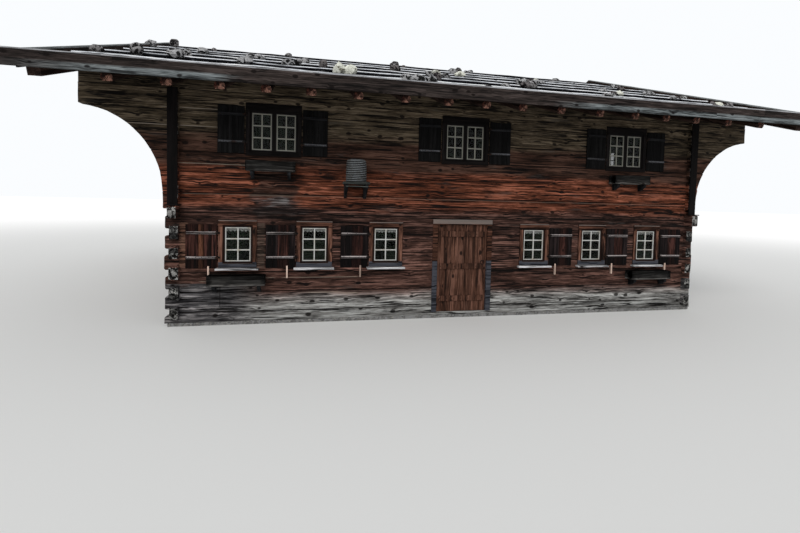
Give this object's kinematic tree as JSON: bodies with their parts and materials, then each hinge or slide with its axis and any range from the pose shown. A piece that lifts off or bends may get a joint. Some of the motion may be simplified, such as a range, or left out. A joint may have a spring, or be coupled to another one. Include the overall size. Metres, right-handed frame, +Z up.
{
  "type": "alpine log farmhouse",
  "caption": "Two-storey alpine farmhouse of squared logs with crossed corners, corbelled log wings under the verges, shuttered windows and a low shingle roof held by poles.",
  "frame": {"origin": "on the ground, under the middle of the house and of its roof", "axes": "X along the eaves and the ridge; the front, with the shutters and the flower boxes, faces -Y; Z up"},
  "size_m": [15.96, 16.28, 7.6295],
  "materials": {
    "footing": null,
    "floor": "worn floor planks",
    "timber": "dark brown hewn timber",
    "log_ground": "weathered dark red-brown squared logs, grey near the ground",
    "log_upper": "weathered dark brown squared logs, olive under the eaves",
    "log_post": "nearly black weathered boards",
    "rafter": "barked round timber with reddish end grain",
    "roof_board": "brown rough boards",
    "shingle": "grey weathered split shingles",
    "fascia": "grey-brown weathered board, paler at its lower half",
    "pole": "pale grey barked poles",
    "casing": "brown weathered window casing",
    "sash": "white painted casement",
    "glass": "old window glass",
    "sill": "silver-grey weathered plank",
    "shutter": "dark brown boards with paler battens",
    "peg": "pale fresh wood",
    "box": "grey weathered board",
    "bracket": "dark bracket",
    "straw": "grey coiled straw",
    "door": "brown boarded door",
    "lace": "white lace"
  },
  "bodies": {
    "root": {"stone_footing": "footing", "ground_floor": "floor", "upper_floor": "floor", "floor_joists": "timber", "front_wall_ground": "log_ground", "front_wall_upper": "log_upper", "back_wall_ground": "log_ground", "back_wall_upper": "log_upper", "left_wall_ground": "log_ground", "left_wall_upper": "log_upper", "right_wall_ground": "log_ground", "right_wall_upper": "log_upper", "left_gable": "log_upper", "right_gable": "log_upper", "corner_posts": "log_post", "eave_purlins": "timber", "roof_purlins": "timber", "purlin_corbels": "timber", "front_rafters": "rafter", "back_rafters": "rafter", "front_roof_boards": "roof_board", "back_roof_boards": "roof_board", "front_shingles": "shingle", "back_shingles": "shingle", "ridge_boards": "shingle", "front_fascia": "fascia", "back_fascia": "fascia", "verge_boards": "fascia", "front_weight_poles": "pole", "back_weight_poles": "pole", "front_casings": "casing", "front_sashes": "sash", "front_panes": "glass", "back_casings": "casing", "back_sashes": "sash", "back_panes": "glass", "gable_casings": "casing", "gable_sashes": "sash", "gable_panes": "glass", "window_sills": "sill", "front_shutters": "shutter", "shutter_pegs": "peg", "flower_boxes": "box", "box_brackets": "bracket", "basket_shelf": "box", "straw_basket": "straw", "door_frame": "casing", "door_leaf": "door", "valances": "lace"}
  },
  "joints": []
}
